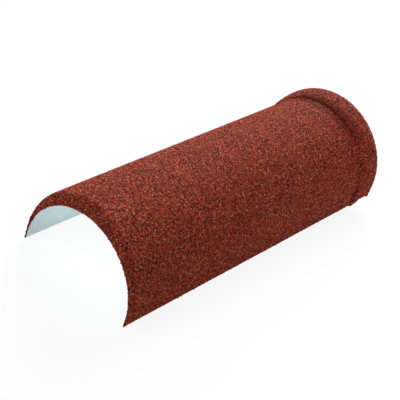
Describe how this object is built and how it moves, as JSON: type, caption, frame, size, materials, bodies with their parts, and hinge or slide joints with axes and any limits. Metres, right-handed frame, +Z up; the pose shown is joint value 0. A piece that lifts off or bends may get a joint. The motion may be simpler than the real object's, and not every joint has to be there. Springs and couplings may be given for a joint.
{
  "type": "half round ridge tile",
  "caption": "Half round roof ridge tile of pressed steel sheet with a bonded stone-chip coat, a turned-down nose lip and a raised collar for lapping.",
  "frame": {"origin": "on the floor plane under the crown, at the middle of the length", "axes": "+Y along the ridge from the nose to the collar, +Z up, +X across"},
  "size_m": [0.1578, 0.419, 0.1009],
  "materials": {
    "primed_steel": "satin primer, pale blue-grey",
    "stone_chips": "rough granules in red, brown and near black"
  },
  "bodies": {
    "root": {"steel_sheet": "primed_steel", "stone_coat": "stone_chips"}
  },
  "joints": []
}
